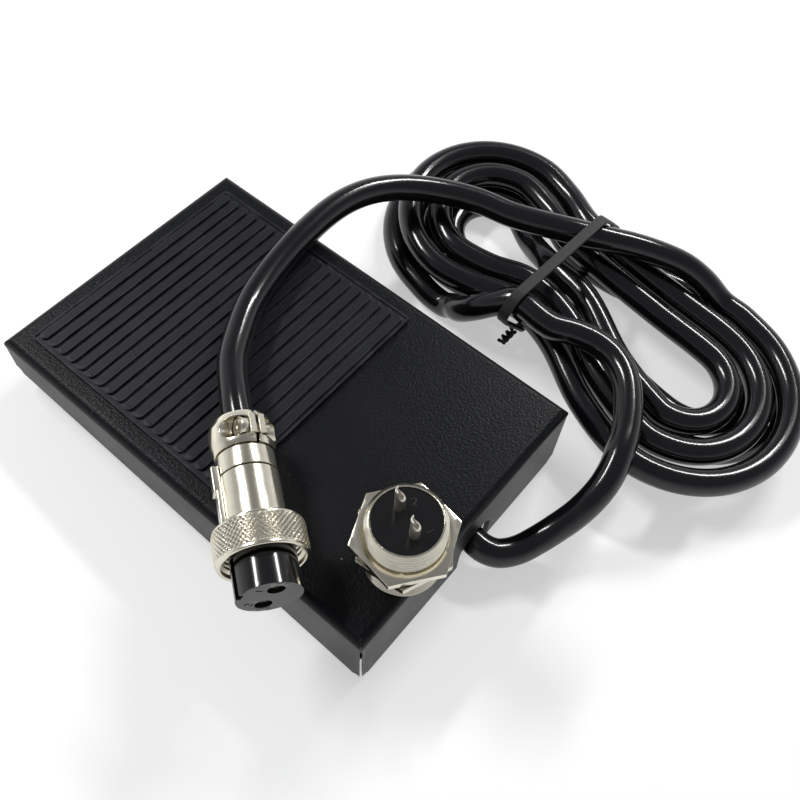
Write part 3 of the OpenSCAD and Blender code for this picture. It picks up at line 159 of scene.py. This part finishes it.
def edge_highlight_effect():
    """Where a highlight is painted: 1 on an edge, 0 on a plain face, between the two turns of the normal, as
    cosines.
    """
    tree, given, result = new_effect("edge_highlight", ("Radius", "Highlight At", "Plain At"), "Mask")
    fillet = tree.nodes.new("ShaderNodeBevel")
    fillet.samples = EDGE_SAMPLES
    tree.links.new(given["Radius"], fillet.inputs["Radius"])
    turn = tree.nodes.new("ShaderNodeVectorMath")
    turn.operation = "DOT_PRODUCT"
    tree.links.new(fillet.outputs["Normal"], turn.inputs[0])
    tree.links.new(tree.nodes.new("ShaderNodeNewGeometry").outputs["Normal"], turn.inputs[1])
    span = tree.nodes.new("ShaderNodeMapRange")
    tree.links.new(turn.outputs["Value"], span.inputs["Value"])
    tree.links.new(given["Plain At"], span.inputs["From Min"])
    tree.links.new(given["Highlight At"], span.inputs["From Max"])
    tree.links.new(span.outputs["Result"], result)
    return tree


def dust_effect():
    """Sparse round specks of dust: 1 on a speck. Spacing and size in mm."""
    tree, given, result = new_effect("dust_specks", ("Spacing", "Size"), "Mask")
    cells = tree.nodes.new("ShaderNodeTexVoronoi")
    tree.links.new(tree.nodes.new("ShaderNodeTexCoord").outputs["Object"], cells.inputs["Vector"])
    tree.links.new(node_math(tree, "DIVIDE", 1 / MM, given["Spacing"]), cells.inputs["Scale"])
    rim = node_math(tree, "DIVIDE", given["Size"], given["Spacing"])
    span = tree.nodes.new("ShaderNodeMapRange")
    tree.links.new(cells.outputs["Distance"], span.inputs["Value"])
    tree.links.new(rim, span.inputs["From Min"])
    tree.links.new(node_math(tree, "MULTIPLY", rim, SPECK_CORE), span.inputs["From Max"])
    tree.links.new(span.outputs["Result"], result)
    return tree


EDGE_SAMPLES = 6
SPECK_CORE = 0.6
GRAIN, EDGE_ROUND, EDGE_HIGHLIGHT, DUST = grain_effect(), edge_round_effect(), edge_highlight_effect(), dust_effect()


class Finish:
    """A material with a principled shader, and the effects placed in it."""

    def __init__(self, name, color, rough, metal=0.0, ior=1.5):
        self.mat = bpy.data.materials.new(name)
        self.mat.use_nodes = True
        self.tree = self.mat.node_tree
        self.nodes = self.tree.nodes
        self.bsdf = self.nodes["Principled BSDF"]
        self.set("Base Color", (*color, 1))
        self.set("Roughness", rough)
        self.set("Metallic", metal)
        self.set("IOR", ior)
        self.normal = None

    def set(self, key, value):
        self.bsdf.inputs[key].default_value = value

    def join(self, a, b):
        self.tree.links.new(a, b)

    def place(self, effect, *values):
        """Places an effect with this material's own values, in the order of its inputs."""
        n = self.nodes.new("ShaderNodeGroup")
        n.node_tree = effect
        for socket, v in zip(n.inputs, values):
            socket.default_value = v
        return n.outputs[0]

    def grain(self, scale, detail=3.0, rough=0.5):
        return self.place(GRAIN, scale, detail, rough)

    def span(self, value, low, high, to_low, to_high):
        """Carries the stretch low to high over to the stretch to_low to to_high."""
        n = self.nodes.new("ShaderNodeMapRange")
        for k, v in zip(("From Min", "From Max", "To Min", "To Max"), (low, high, to_low, to_high)):
            n.inputs[k].default_value = v
        self.join(value, n.inputs["Value"])
        return n.outputs["Result"]

    def math(self, op, a, b):
        return node_math(self.tree, op, a, b)

    def mix(self, mask, a, b):
        """Colour a where the mask is 0, and b where it is 1; a may be a socket."""
        n = self.nodes.new("ShaderNodeMix")
        n.data_type = "RGBA"
        self.join(mask, n.inputs["Factor"])
        first, second = n.inputs[6], n.inputs[7]
        if isinstance(a, tuple):
            first.default_value = (*a, 1)
        else:
            self.join(a, first)
        second.default_value = (*b, 1)
        return n.outputs[2]

    def bump(self, height, strength, depth):
        n = self.nodes.new("ShaderNodeBump")
        n.inputs["Strength"].default_value = strength
        n.inputs["Distance"].default_value = depth
        self.join(height, n.inputs["Height"])
        if self.normal is not None:
            self.join(self.normal, n.inputs["Normal"])
        self.normal = n.outputs["Normal"]

    def round_edges(self, radius):
        self.normal = self.place(EDGE_ROUND, radius * MM)

    def done(self, color=None, rough=None):
        for source, key in ((color, "Base Color"), (rough, "Roughness"), (self.normal, "Normal")):
            if source is not None:
                self.join(source, self.bsdf.inputs[key])
        return self.mat


def black_paint():
    """Baked black paint: fine grain, a painted highlight in grey on its bends, a few specks of dust."""
    m = Finish("black_paint", (0.0035, 0.0039, 0.0052), 0.36, ior=1.24)
    m.bump(m.grain(1900, 2.0, 0.6), 0.75, 0.00016)
    patchy = m.span(m.grain(700), 0.45, 0.6, 0.0, 1.0)
    # Painted highlight: pale grey painted on the bends, broken in patches
    edge_highlight_amount = m.math("MULTIPLY", m.place(EDGE_HIGHLIGHT, 1.0 * MM, 0.93, 0.998), patchy)
    highlit_paint = m.mix(edge_highlight_amount, (0.004, 0.0044, 0.0056), (0.1, 0.1, 0.1))
    dust_and_highlights = m.mix(m.place(DUST, 9.0, 0.16), highlit_paint, (0.45, 0.45, 0.45))
    return m.done(dust_and_highlights, m.span(m.grain(60), 0.3, 0.7, 0.33, 0.4))


def moulded_rubber(name, color, rough):
    m = Finish(name, color, rough, ior=1.3)
    m.bump(m.grain(1500, 2.0), 0.2, 0.0001)
    return m


def ribbed_mat_rubber(color):
    """The mat's rubber, with painted highlights in pale grey on its rib edges, and pale dust in soft patches.
    """
    m = moulded_rubber("mat_rubber", color, 0.5)
    film = m.span(m.grain(55, 4.0, 0.6), 0.45, 0.75, 0.0, 0.35)
    broken = m.span(m.grain(260), 0.42, 0.62, 0.0, 0.3)
    # Painted highlight: pale grey painted along the rib edges, broken in places; the film is pale dust in soft
    # patches
    rib_highlight = m.math("MULTIPLY", m.place(EDGE_HIGHLIGHT, 0.35 * MM, 0.9, 0.995), broken)
    highlight_and_dust = m.math("ADD", rib_highlight, m.math("MULTIPLY", film, 0.06))
    dust_and_highlights = m.mix(highlight_and_dust, color, (0.16, 0.165, 0.18))
    return m.done(m.mix(m.place(DUST, 7.0, 0.14), dust_and_highlights, (0.5, 0.5, 0.5)))


def nickel(color=(0.8, 0.75, 0.62), rough=0.17):
    """Nickel plating with faint smears."""
    m = Finish("nickel", color, rough, metal=1.0)
    m.round_edges(0.12)
    smear = m.grain(160, 4.0, 0.6)
    m.bump(m.grain(500), 0.05, 0.00008)
    dull = tuple(c * 0.82 for c in color)
    return m.done(m.mix(m.span(smear, 0.35, 0.7, 0.0, 1.0), color, dull),
                  m.span(smear, 0.3, 0.75, rough * 0.8, rough * 1.5))


def metal(name, color, rough):
    m = Finish(name, color, rough, metal=1.0)
    m.round_edges(0.1)
    return m.done(rough=m.span(m.grain(300), 0.3, 0.7, rough * 0.8, rough * 1.3))


def plastic(name, color, rough, wave=0.0):
    m = Finish(name, color, rough)
    if wave:
        m.bump(m.grain(120, 2.0), wave, 0.0004)
    return m.done()


FINISH = {
    "black_paint": black_paint(),
    "mat_rubber": ribbed_mat_rubber((0.006, 0.0065, 0.01)),
    "sole_rubber": moulded_rubber("sole_rubber", (0.02, 0.02, 0.02), 0.7).done(),
    "zinc_steel": metal("zinc_steel", (0.6, 0.6, 0.58), 0.32),
    "spring_steel": metal("spring_steel", (0.55, 0.55, 0.56), 0.2),
    "pale_plastic": plastic("pale_plastic", (0.6, 0.6, 0.56), 0.45),
    "switch_plastic": plastic("switch_plastic", (0.02, 0.02, 0.02), 0.45),
    "red_plastic": plastic("red_plastic", (0.45, 0.02, 0.015), 0.4),
    "red_wire": plastic("red_wire", (0.4, 0.012, 0.01), 0.35),
    "black_wire": plastic("black_wire", (0.012, 0.012, 0.012), 0.35),
    "cord_pvc": plastic("cord_pvc", (0.004, 0.004, 0.005), 0.17, wave=0.12),
    "tie_plastic": plastic("tie_plastic", (0.006, 0.006, 0.007), 0.6),
    "insert_plastic": plastic("insert_plastic", (0.006, 0.006, 0.0065), 0.14),
    "nickel": nickel(),
    "contact_brass": metal("contact_brass", (0.62, 0.5, 0.27), 0.3),
    "pin_plating": metal("pin_plating", (0.62, 0.58, 0.5), 0.36),
}
MARK = {
    "mark_black": plastic("mark_black", (0.003, 0.003, 0.003), 0.6),
    "mark_grey": plastic("mark_grey", (0.03, 0.03, 0.032), 0.4),
}
SLOT_OF = {s["node"]: s["material_slot"] for s in frame["record"]["subparts"]}
for name, obj in NODES.items():
    obj.data.materials.clear()
    obj.data.materials.append(FINISH[SLOT_OF[name]])
    shade_smooth(obj, 32)


def dress(obj, slot, body):
    obj.data.materials.clear()
    obj.data.materials.append(FINISH[slot])
    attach(obj, body)
    return obj


# The cord

CORD_D = 6.5
LEAD = [
    (3, -52.3, 7), (3, -55.9, 6.9), (4.6, -59, 6.4), (8, -61.6, 6.3), (12.2, -63.5, 7.3), (16.2, -65.1, 9.3),
    (20.2, -66.6, 12.2), (23.7, -67.4, 15), (27.4, -67.6, 17.2), (31.2, -67.1, 18.7), (35.5, -65.9, 19.6),
    (41.1, -64, 19.5), (46.7, -61, 19.4), (51.9, -57, 19.3), (55.3, -52, 19.2), (56.1, -46.4, 19.1),
    (54.8, -40.5, 19), (52.5, -35.1, 18.9), (53, -25.2, 18.4), (50.9, -21.1, 15.8), (48.7, -17.1, 12.2),
    (48.2, -13.4, 8.3), (49.4, -10.6, 5.6),
]
TAIL_ON_HANK = [
    (20.8, -17, 13.9), (18.6, -11, 16.7), (15.2, -5, 18.4), (11.4, 1, 19.4), (7.2, 7, 19.9), (3.2, 14, 19.8),
]
TAIL = [
    (73.8, -9, 18.4), (71.2, 0.5, 18.4), (66.6, 9, 18.8), (59.8, 16, 20.2), (51.5, 20.4, 21.9),
    (42, 22.3, 23), (30, 22, 23.4), (18, 20.3, 23.4), (7, 17, 23.8), (-2, 12, 25), (-8, 7.6, 26.2),
]
# Hank: its middle and turn, then where its two ends and its tie lie along it
HANK_X, HANK_Y, HANK_TURN = 75.0, -37.0, math.radians(-4)
LEFT_U, RIGHT_U, TIE_U = 34.0, -30.0, 10.0
# The loops swing out by DRAW beside the tie, and lie STEP apart, out from INNER_W
DRAW, STEP, INNER_W = 6.5, 7.8, 2.4
# Turns counted along the cord: first, last, and where the lower layer goes over to the upper
FIRST_TURN, LAST_TURN, LAYER_TURN, PER_LOOP = 0.1, 4.9, 2.47, 24
# Shares of a turn: a straight run, an end's arc, the climb to the upper layer and its crossing
RUN, ARC, CLIMB, CROSS = 0.1, 0.3, 0.05, 0.07
LOW_SHIFT, HIGH_SHIFT = 4, -6
LOW_Z = CORD_D / 2 + 0.1
HIGH_Z = LOW_Z + CORD_D + 0.6
# The strands ride up a little under the tie
TIE_RISE, TIE_RISE_L = 1.2, 10.0


def ease(x):
    """A soft step from 0 to 1."""
    return (1 - math.cos(math.pi * min(max(x, 0), 1))) / 2


def half_width(turn):
    return INNER_W + STEP * abs(turn - LAYER_TURN)


def swing_out(u):
    """How far a strand lies outside its place at the tie, at u along the hank."""
    return DRAW * ease((u - TIE_U) / (LEFT_U - TIE_U) if u > TIE_U else (TIE_U - u) / (TIE_U - RIGHT_U))


def loop_outline(turn):
    """Place across and along the hank at this turn: run, left end, run past the tie, right end, run."""
    f, w = turn - math.floor(turn), half_width(turn)
    if f < RUN:
        u = TIE_U + (LEFT_U - TIE_U) * f / RUN
        return -w - swing_out(u), u
    if f < RUN + ARC:
        a = math.pi * (f - RUN) / ARC
        return -(w + DRAW) * math.cos(a), LEFT_U + (w + DRAW) * math.sin(a)
    if f < 0.5 + RUN:
        g = (f - RUN - ARC) / (2 * RUN)
        u = LEFT_U + (TIE_U - LEFT_U) * 2 * g if g < 0.5 else TIE_U + (RIGHT_U - TIE_U) * (2 * g - 1)
        return w + swing_out(u), u
    if f < 0.5 + RUN + ARC:
        a = math.pi * (f - 0.5 - RUN) / ARC
        return (w + DRAW) * math.cos(a), RIGHT_U - (w + DRAW) * math.sin(a)
    u = RIGHT_U + (TIE_U - RIGHT_U) * (f - 1 + RUN) / RUN
    return -w - swing_out(u), u


def beside_pedal(s, u, z):
    """A point s across and u along the hank, where the hank lies beside the pedal."""
    c, k = math.cos(HANK_TURN), math.sin(HANK_TURN)
    return Vector((HANK_X - u * k + s * c, HANK_Y + u * c + s * k, z))


def strand_point(turn):
    s, u = loop_outline(turn)
    s *= 1 - 2 * ease((turn - LAYER_TURN) / (2 * CROSS) + 0.5)
    s += (LOW_SHIFT if turn < LAYER_TURN else HIGH_SHIFT) * ease((TIE_U - u) / (TIE_U - RIGHT_U))
    climb = (HIGH_Z - LOW_Z) * ease((turn - LAYER_TURN) / (2 * CLIMB) + 0.5)
    rise = TIE_RISE * math.exp(-((u - TIE_U) / TIE_RISE_L) ** 2)
    return beside_pedal(s, u, LOW_Z + climb + rise)


COUNT = round((LAST_TURN - FIRST_TURN) * PER_LOOP)
HANK = [strand_point(FIRST_TURN + (LAST_TURN - FIRST_TURN) * i / COUNT) for i in range(COUNT + 1)]
HANK_DIR = (beside_pedal(0, 1, 0) - beside_pedal(0, 0, 0)).normalized()
# The cord runs on into the plug, from the clamp's rear end to its front end
CLAMP_FRONT, CLAMP_REAR = -19.4, -26.7
PLUG_REAR = RING + CLAMP_REAR * PLUG_DIR
ROUTE = [Vector(p) for p in LEAD] + [HANK[0] - CORD_D * HANK_DIR] + HANK
ROUTE += [HANK[-1] + CORD_D * HANK_DIR] + [beside_pedal(*p) for p in TAIL_ON_HANK]
ROUTE += [Vector(p) for p in TAIL] + [PLUG_REAR - CORD_D * PLUG_DIR, PLUG_REAR, RING + CLAMP_FRONT * PLUG_DIR]


def round_cord(name, points, radius, around=10, along=6):
    """A round tube through the points, with a soft bend at each."""
    cu = bpy.data.curves.new(name, "CURVE")
    cu.dimensions = "3D"
    cu.bevel_depth = radius * MM
    cu.bevel_resolution = around
    cu.resolution_u = along
    cu.use_fill_caps = True
    sp = cu.splines.new("BEZIER")
    sp.bezier_points.add(len(points) - 1)
    for i, p in enumerate(points):
        b = sp.bezier_points[i]
        b.co = Vector(p) * MM
        before, after = Vector(points[max(i - 1, 0)]), Vector(points[min(i + 1, len(points) - 1)])
        t = (after - before).normalized()
        b.handle_left_type = b.handle_right_type = "FREE"
        b.handle_left = (Vector(p) - t * (Vector(p) - before).length / 3) * MM
        b.handle_right = (Vector(p) + t * (after - Vector(p)).length / 3) * MM
    return link(bpy.data.objects.new(name, cu))


cord = round_cord("cord", ROUTE, CORD_D / 2)
dress(cord, "cord_pvc", "base")
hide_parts("cord_lead", "cord_hank", "cord_tail")


# Coupling ring with its diamond knurl

# Inside: the lip that holds the ring on the plug, and the thread
LIP_R, LIP_L = 6.0, 0.9
THREAD_CREST, THREAD_ROOT, THREAD_PITCH = 7.4, 8.05, 1
# Outside: dots round the ring and along it, and how deep every other one is sunk
KNURL_AROUND, KNURL_ROWS, KNURL_DEPTH = 108, 10, 0.3


def knurled_ring():
    """The coupling ring with a diamond knurl: its outline spun round, then every other dot sunk."""
    r, half = RING_D / 2, RING_L / 2
    outer, band = r - 0.02, half - 0.8
    rim = [(r - 0.62, half), (r - 0.42, half - 0.1), (r - 0.28, half - 0.3), (r - 0.3, band + 0.12)]
    thread_end = -half + LIP_L
    outline = [(LIP_R, -half), (LIP_R, thread_end), (THREAD_ROOT, thread_end)]
    z = thread_end
    while z + THREAD_PITCH < half - 0.2:
        outline += [(THREAD_CREST, z + THREAD_PITCH / 2), (THREAD_ROOT, z + THREAD_PITCH)]
        z += THREAD_PITCH
    outline += [(THREAD_ROOT - 0.2, half - 0.15), (THREAD_ROOT, half)] + rim
    outline += [(outer, band - 2 * band * i / KNURL_ROWS) for i in range(KNURL_ROWS + 1)]
    outline += [(x, -z) for x, z in reversed(rim)]
    bm = bmesh.new()
    dots = [bm.verts.new((x, 0, z)) for x, z in outline]
    for a, b in zip(dots, dots[1:] + dots[:1]):
        bm.edges.new((a, b))
    bmesh.ops.spin(bm, geom=bm.verts[:] + bm.edges[:], cent=(0, 0, 0), axis=(0, 0, 1), angle=2 * math.pi,
                   steps=KNURL_AROUND, use_merge=True)
    sunk = []
    for v in bm.verts:
        if v.co.xy.length > r - 0.1 and abs(v.co.z) < band + 0.05:
            row = round((band - v.co.z) / (2 * band) * KNURL_ROWS)
            column = round(math.atan2(v.co.y, v.co.x) / (2 * math.pi) * KNURL_AROUND)
            if (row + column) % 2:
                v.co.xy *= (outer - KNURL_DEPTH) / v.co.xy.length
                sunk.append(v)
    bmesh.ops.connect_verts(bm, verts=sunk)
    bmesh.ops.recalc_face_normals(bm, faces=bm.faces)
    bmesh.ops.transform(bm, matrix=Matrix.Scale(MM, 4) @ PLUG, verts=bm.verts)
    obj = mesh_object("knurled_ring", bm)
    shade_smooth(obj, 20)
    return obj


ring = knurled_ring()
dress(ring, "nickel", "ring")
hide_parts("coupling_ring")


def pin_number(name, strokes, place, base, up, height, thick, mark, body):
    """A moulded pin number: a thin round bead along its strokes, half sunk in the face."""
    bead = bpy.data.curves.new(name, "CURVE")
    bead.dimensions = "3D"
    bead.bevel_depth = thick
    bead.bevel_resolution = 2
    bead.use_fill_caps = True
    line = bead.splines.new("POLY")
    line.points.add(len(strokes) - 1)
    for p, (x, y) in zip(line.points, strokes):
        p.co = (x * height, y * height, 0, 1)
    drawn = link(bpy.data.objects.new(name + "_line", bead))
    tube = drawn.evaluated_get(bpy.context.evaluated_depsgraph_get())
    bm = bmesh.new()
    bm.from_mesh(bpy.data.meshes.new_from_object(tube))
    bmesh.ops.remove_doubles(bm, verts=bm.verts, dist=0.001)
    bpy.data.objects.remove(drawn)
    out = Vector((0, 0, 1))
    up = Vector(up).normalized()
    turn = Matrix((up.cross(out), up, out)).transposed().to_4x4()
    on_face = Matrix.Scale(MM, 4) @ place @ Matrix.Translation(base) @ turn
    bmesh.ops.transform(bm, matrix=on_face, verts=bm.verts)
    number = dress(mesh_object(name, bm), "insert_plastic", body)
    number.data.materials[0] = MARK[mark]
    return number


# The strokes of the two numbers, for a height of 1
ONE = [(0, -0.5), (0, 0.5)]
TWO = [(-0.3, 0.3), (-0.22, 0.44), (0, 0.5), (0.22, 0.44), (0.3, 0.26), (0.2, 0.04), (-0.3, -0.5), (0.32, -0.5)]
# Heights of the two inserts' faces on their own axes
PLUG_FACE, SOCKET_FACE = RING_L / 2 + 6.6, 17.2
for name, strokes, place, base, up, height, thick, mark, body in (
    ("plug_number_1", ONE, PLUG, (-3.6, -1.7, PLUG_FACE), (0.47, 0.88, 0), 1.3, 0.09, "mark_black", "base"),
    ("plug_number_2", TWO, PLUG, (1.75, -4.0, PLUG_FACE), (-0.47, -0.88, 0), 1.5, 0.09, "mark_black", "base"),
    ("socket_number_1", ONE, SOCKET, (1.25, -4.45, SOCKET_FACE), (-0.93, 0.36, 0), 1.7, 0.06,
     "mark_grey", "socket"),
    ("socket_number_2", TWO, SOCKET, (3.85, 1.4, SOCKET_FACE), (0.6, 0.8, 0), 1.5, 0.06,
     "mark_grey", "socket"),
):
    number = pin_number(name, strokes, place, base, up, height, thick, mark, body)

# Soft edges on the solids

for name, width in (
    ("rubber_mat", 0.3), ("plug_key", 0.2), ("plug_clamp_left", 0.3), ("plug_clamp_right", 0.3),
    ("plug_clamp_screws", 0.15), ("plug_barrel", 0.15), ("plug_collar", 0.12), ("plug_insert", 0.25),
    ("socket_nut", 0.12), ("socket_insert", 0.1), ("socket_washer", 0.05), ("socket_pins", 0.1),
    ("cord_tie", 0.25),
):
    soften_edges(NODES[name], width)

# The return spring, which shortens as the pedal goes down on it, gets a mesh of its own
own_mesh(NODES["return_spring"])

# Floor, light and camera

bm = bmesh.new()
bmesh.ops.create_grid(bm, x_segments=1, y_segments=1, size=3)
floor = mesh_object("floor", bm)
# Lifts the floor's own colour to white where the camera or a gloss sees it, and leaves the shadow
FLOOR_LIFT = 0.47
floor_white = Finish("floor_white", (0.6, 0.6, 0.6), 0.9, ior=1.3)
floor_white.set("Emission Color", (1, 1, 1, 1))
rays = floor_white.nodes.new("ShaderNodeLightPath").outputs
seen = floor_white.math("MAXIMUM", rays["Is Camera Ray"], rays["Is Glossy Ray"])
floor_white.join(floor_white.math("MULTIPLY", seen, FLOOR_LIFT), floor_white.bsdf.inputs["Emission Strength"])
floor.data.materials.append(floor_white.done())

# A white tent that darkens towards its top
TENT_FOOT, TENT_TOP, TENT_TOP_AT = (0.95, 0.97, 1, 1), (0.22, 0.225, 0.24, 1), 0.62
world = bpy.data.worlds.new("world")
scene.world = world
world.use_nodes = True
tent = world.node_tree
height = tent.nodes.new("ShaderNodeSeparateXYZ")
tent.links.new(tent.nodes.new("ShaderNodeTexCoord").outputs["Generated"], height.inputs[0])
tone = tent.nodes.new("ShaderNodeValToRGB")
foot, top = tone.color_ramp.elements
foot.position, foot.color = 0.0, TENT_FOOT
top.position, top.color = TENT_TOP_AT, TENT_TOP
tent.links.new(height.outputs["Z"], tone.inputs["Fac"])
tent.links.new(tone.outputs["Color"], tent.nodes["Background"].inputs["Color"])
tent.nodes["Background"].inputs["Strength"].default_value = 1.0


def strip_lamp(name, azimuth, elevation):
    """A narrow lamp that looks at the object from this direction, in degrees."""
    light = bpy.data.lights.new(name, "AREA")
    light.shape = "RECTANGLE"
    light.size, light.size_y, light.energy = LAMP_LENGTH, LAMP_WIDTH, LAMP_WATTS
    a, e = math.radians(azimuth), math.radians(elevation)
    away = Vector((math.cos(e) * math.cos(a), math.cos(e) * math.sin(a), math.sin(e)))
    lamp = link(bpy.data.objects.new(name, light))
    lamp.location = LAMP_AIM + LAMP_REACH * away
    lamp.rotation_euler = (-away).to_track_quat("-Z", "Y").to_euler()


# The directions are those that the bright stripes on the plug mirror
LAMP_AIM = Vector((0.01, -0.03, 0.02))
LAMP_REACH, LAMP_LENGTH, LAMP_WIDTH, LAMP_WATTS = 0.8, 0.28, 0.05, 3.1
strip_lamp("lamp_left", 99, 47)
strip_lamp("lamp_right", 6, 43)

# The photo's camera, fitted to the pedal's edges: place, directions and focal length in pixels
CAM_AT = Vector((-70.97, -72.20, 191.68))
CAM_FORWARD = Vector((0.42276, 0.25206, -0.87048))
CAM_RIGHT = Vector((0.64105, -0.76213, 0.09065))
FOCAL_PX, PHOTO_PX, SENSOR = 902.28, 800.0, 36.0
up = CAM_RIGHT.cross(CAM_FORWARD).normalized()
cam_data = bpy.data.cameras.new("camera")
cam = link(bpy.data.objects.new("camera", cam_data))
cam_data.sensor_width = SENSOR
cam_data.lens = FOCAL_PX / PHOTO_PX * SENSOR
cam_data.clip_start, cam_data.clip_end = 0.01, 20
cam.matrix_world = Matrix.Translation(CAM_AT * MM) @ Matrix((CAM_RIGHT, up, -CAM_FORWARD)).transposed().to_4x4()
scene.camera = cam

scene.view_settings.view_transform = "Standard"
